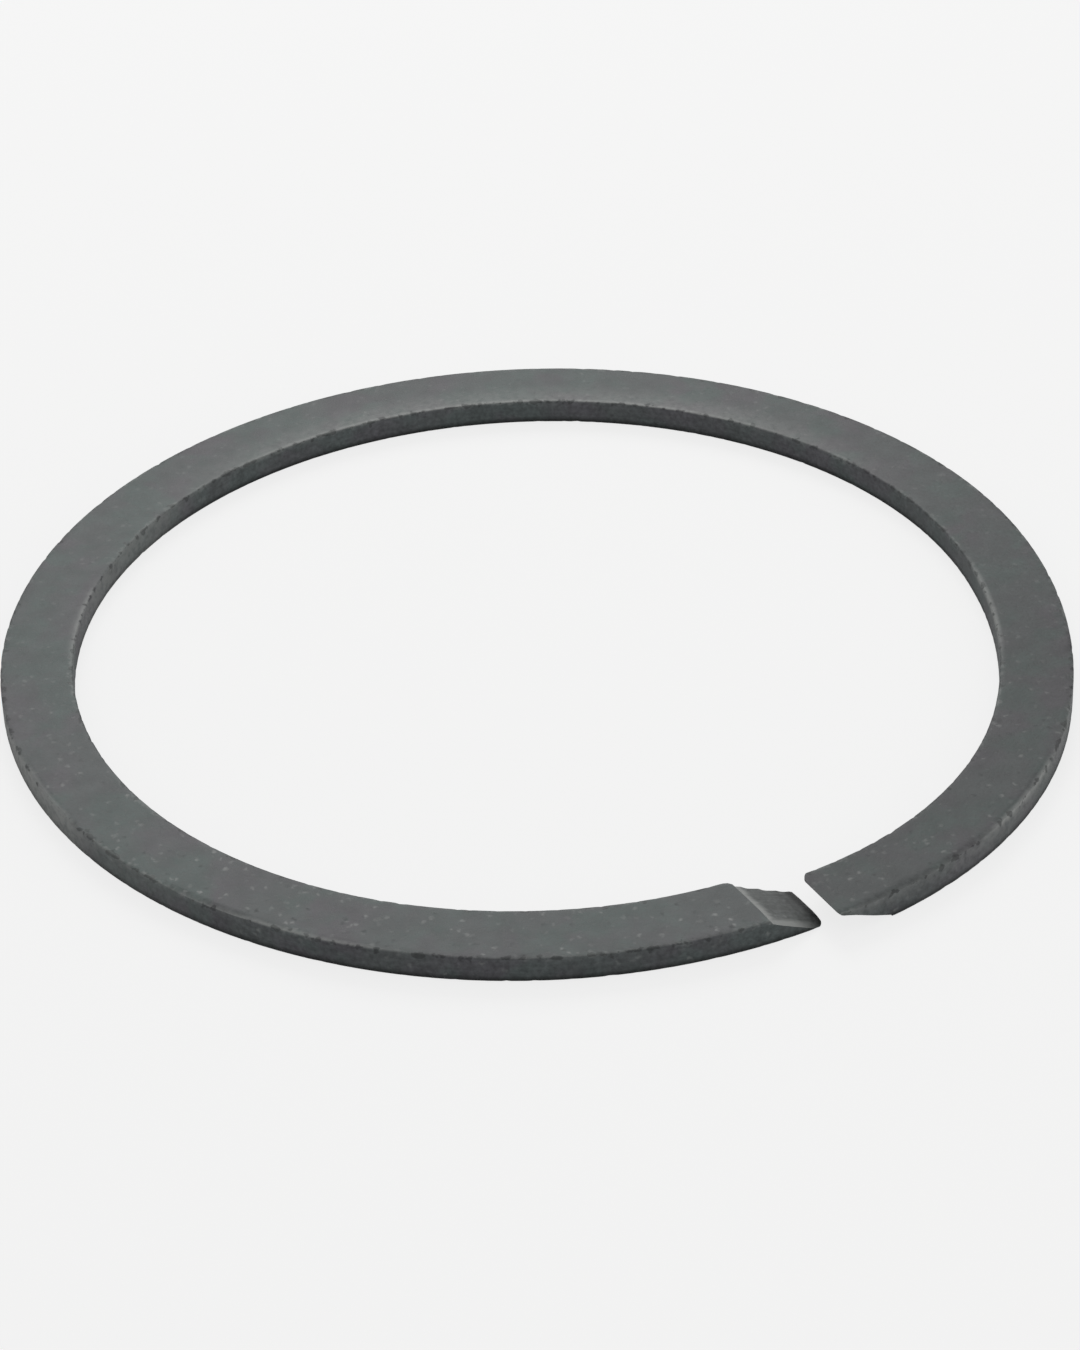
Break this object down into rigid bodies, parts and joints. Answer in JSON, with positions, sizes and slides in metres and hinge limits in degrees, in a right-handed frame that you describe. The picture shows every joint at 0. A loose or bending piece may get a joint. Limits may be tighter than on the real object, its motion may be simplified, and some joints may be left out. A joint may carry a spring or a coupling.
{
  "type": "scarf-cut backup ring",
  "caption": "Flat split ring of rectangular section with a slanted scarf cut, sprung slightly open, that backs up an O-ring in its groove.",
  "frame": {"origin": "on the bore's axis, in the plane of the lower face", "axes": "+Z along the bore's axis, from the lower face to the upper; +X and +Y lie in the plane of the ring, with the split about 61 degrees clockwise from +X as seen from above"},
  "size_m": [0.0678, 0.0676, 0.0017],
  "materials": {
    "filled_fluoropolymer": "skived and lathe-cut carbon-filled fluoropolymer: dark grey, waxy matte, with a fine grain"
  },
  "bodies": {
    "root": {"backup_ring": "filled_fluoropolymer"}
  },
  "joints": []
}
